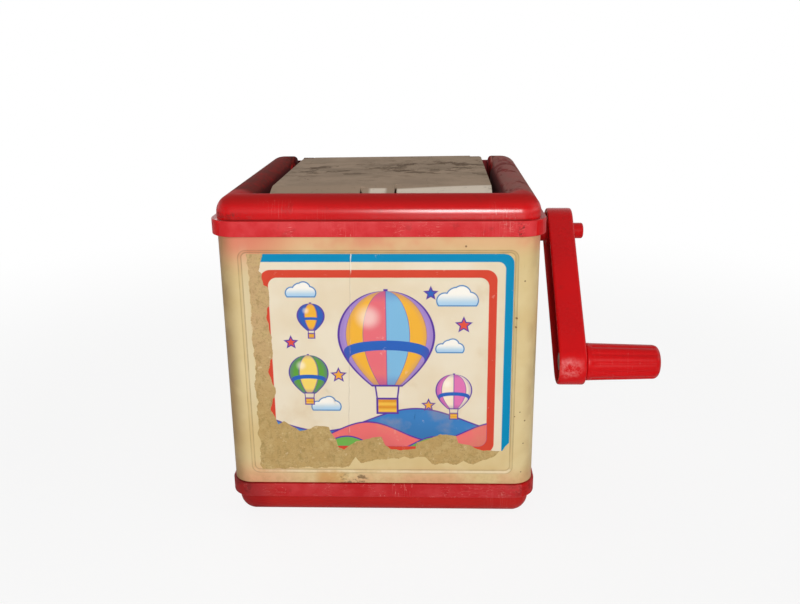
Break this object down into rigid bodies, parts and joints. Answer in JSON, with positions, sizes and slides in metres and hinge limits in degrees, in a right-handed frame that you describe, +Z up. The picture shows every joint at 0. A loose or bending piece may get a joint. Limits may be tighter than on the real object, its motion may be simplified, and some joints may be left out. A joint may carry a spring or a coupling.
{
  "type": "jack-in-the-box",
  "caption": "Square musical toy box with a hinged latched lid over a sprung jack, a turning side crank with a fluted grip, and a gear-driven drum.",
  "frame": {"origin": "middle of the tray's flat underside, on the surface it stands on", "axes": "+Z up, -Y out of the front with the torn label, +X out of the side with the crank"},
  "size_m": [0.1926, 0.14, 0.147],
  "materials": {
    "red_plastic": "moulded red plastic, scuffed",
    "cream_plastic": "moulded cream plastic, yellowed",
    "lid_plastic": "dulled and dirty beige plastic",
    "label_paper": "printed paper label",
    "white_plastic": "moulded white plastic",
    "steel": "plated steel",
    "brass": "turned brass",
    "blue_cloth": "plain woven cotton",
    "red_cloth": "plain woven cotton",
    "yellow_cloth": "plain woven cotton",
    "doll_vinyl": "soft vinyl"
  },
  "bodies": {
    "case": {"base_tray": "red_plastic", "body_shell": "cream_plastic", "top_frame": "red_plastic", "label_front": "label_paper", "label_right": "label_paper", "label_back": "label_paper", "label_left": "label_paper", "hinge_pin": "steel", "crank_bush": "white_plastic", "movement_plate": "steel", "movement_housing": "white_plastic", "idler_axle": "steel", "comb": "steel", "comb_clamp": "brass", "latch_spring": "steel", "spring_seat": "white_plastic", "costume_ring": "white_plastic", "jack_spring": "steel", "jack_costume": "blue_cloth", "seat_screw_1": "steel", "seat_screw_2": "steel", "base_screw_1": "steel", "base_screw_2": "steel", "base_screw_3": "steel", "base_screw_4": "steel", "frame_screw_1": "steel", "frame_screw_2": "steel", "frame_screw_3": "steel", "frame_screw_4": "steel", "movement_screw_1": "steel", "movement_screw_2": "steel", "movement_screw_3": "steel", "movement_screw_4": "steel", "comb_screw_1": "steel", "comb_screw_2": "steel"},
    "lid": {"lid": "lid_plastic"},
    "jack": {"jack_platform": "white_plastic", "jack_torso": "red_cloth", "jack_collar": "yellow_cloth", "jack_head": "doll_vinyl", "jack_cap": "blue_cloth", "cap_pompom": "yellow_cloth", "jack_arm_left": "red_cloth", "jack_arm_right": "red_cloth", "jack_hand_left": "doll_vinyl", "jack_hand_right": "doll_vinyl"},
    "crank": {"crank_shaft": "red_plastic", "crank_clip": "steel", "crank_arm": "red_plastic", "grip_pin": "steel", "drive_pinion": "white_plastic"},
    "grip": {"crank_grip": "red_plastic"},
    "idler": {"idler_gear": "white_plastic"},
    "drum": {"drum_gear": "white_plastic", "drum_axle": "steel", "music_drum": "brass", "release_cam": "white_plastic"},
    "rocker": {"latch_rocker": "white_plastic"}
  },
  "joints": [
    {"name": "lid_hinge", "type": "hinge", "parent": "case", "child": "lid", "pos_m": [0, 0.062, 0.1436], "axis": [-1, 0, 0], "range_deg": [0, 100]},
    {"name": "jack_slide", "type": "slide", "parent": "case", "child": "jack", "axis": [0, 0, 1], "range_m": [0, 0.0961], "deforming": ["jack_spring", "jack_costume"]},
    {"name": "crank_turn", "type": "hinge", "parent": "case", "child": "crank", "pos_m": [0.0656, 0, 0.1183], "axis": [1, 0, 0], "continuous": true},
    {"name": "grip_spin", "type": "hinge", "parent": "crank", "child": "grip", "pos_m": [0.0899, -0.05536, 0.07118], "axis": [1, 0, 0], "continuous": true},
    {"name": "idler_turn", "type": "hinge", "parent": "case", "child": "idler", "pos_m": [0.06, 0.01485, 0.10345], "axis": [1, 0, 0], "continuous": true},
    {"name": "drum_turn", "type": "hinge", "parent": "case", "child": "drum", "pos_m": [0.06, -0.00212, 0.08648], "axis": [1, 0, 0], "continuous": true},
    {"name": "latch_tip", "type": "hinge", "parent": "case", "child": "rocker", "pos_m": [0.02, -0.06, 0.088], "axis": [-1, 0, 0], "range_deg": [0, 4.7]}
  ],
  "couplings": [
    {"joint": "jack_slide", "follows": "lid_hinge", "m_per_rad": 0.055},
    {"joint": "idler_turn", "follows": "crank_turn", "ratio": -0.4},
    {"joint": "drum_turn", "follows": "crank_turn", "ratio": 0.13333}
  ]
}
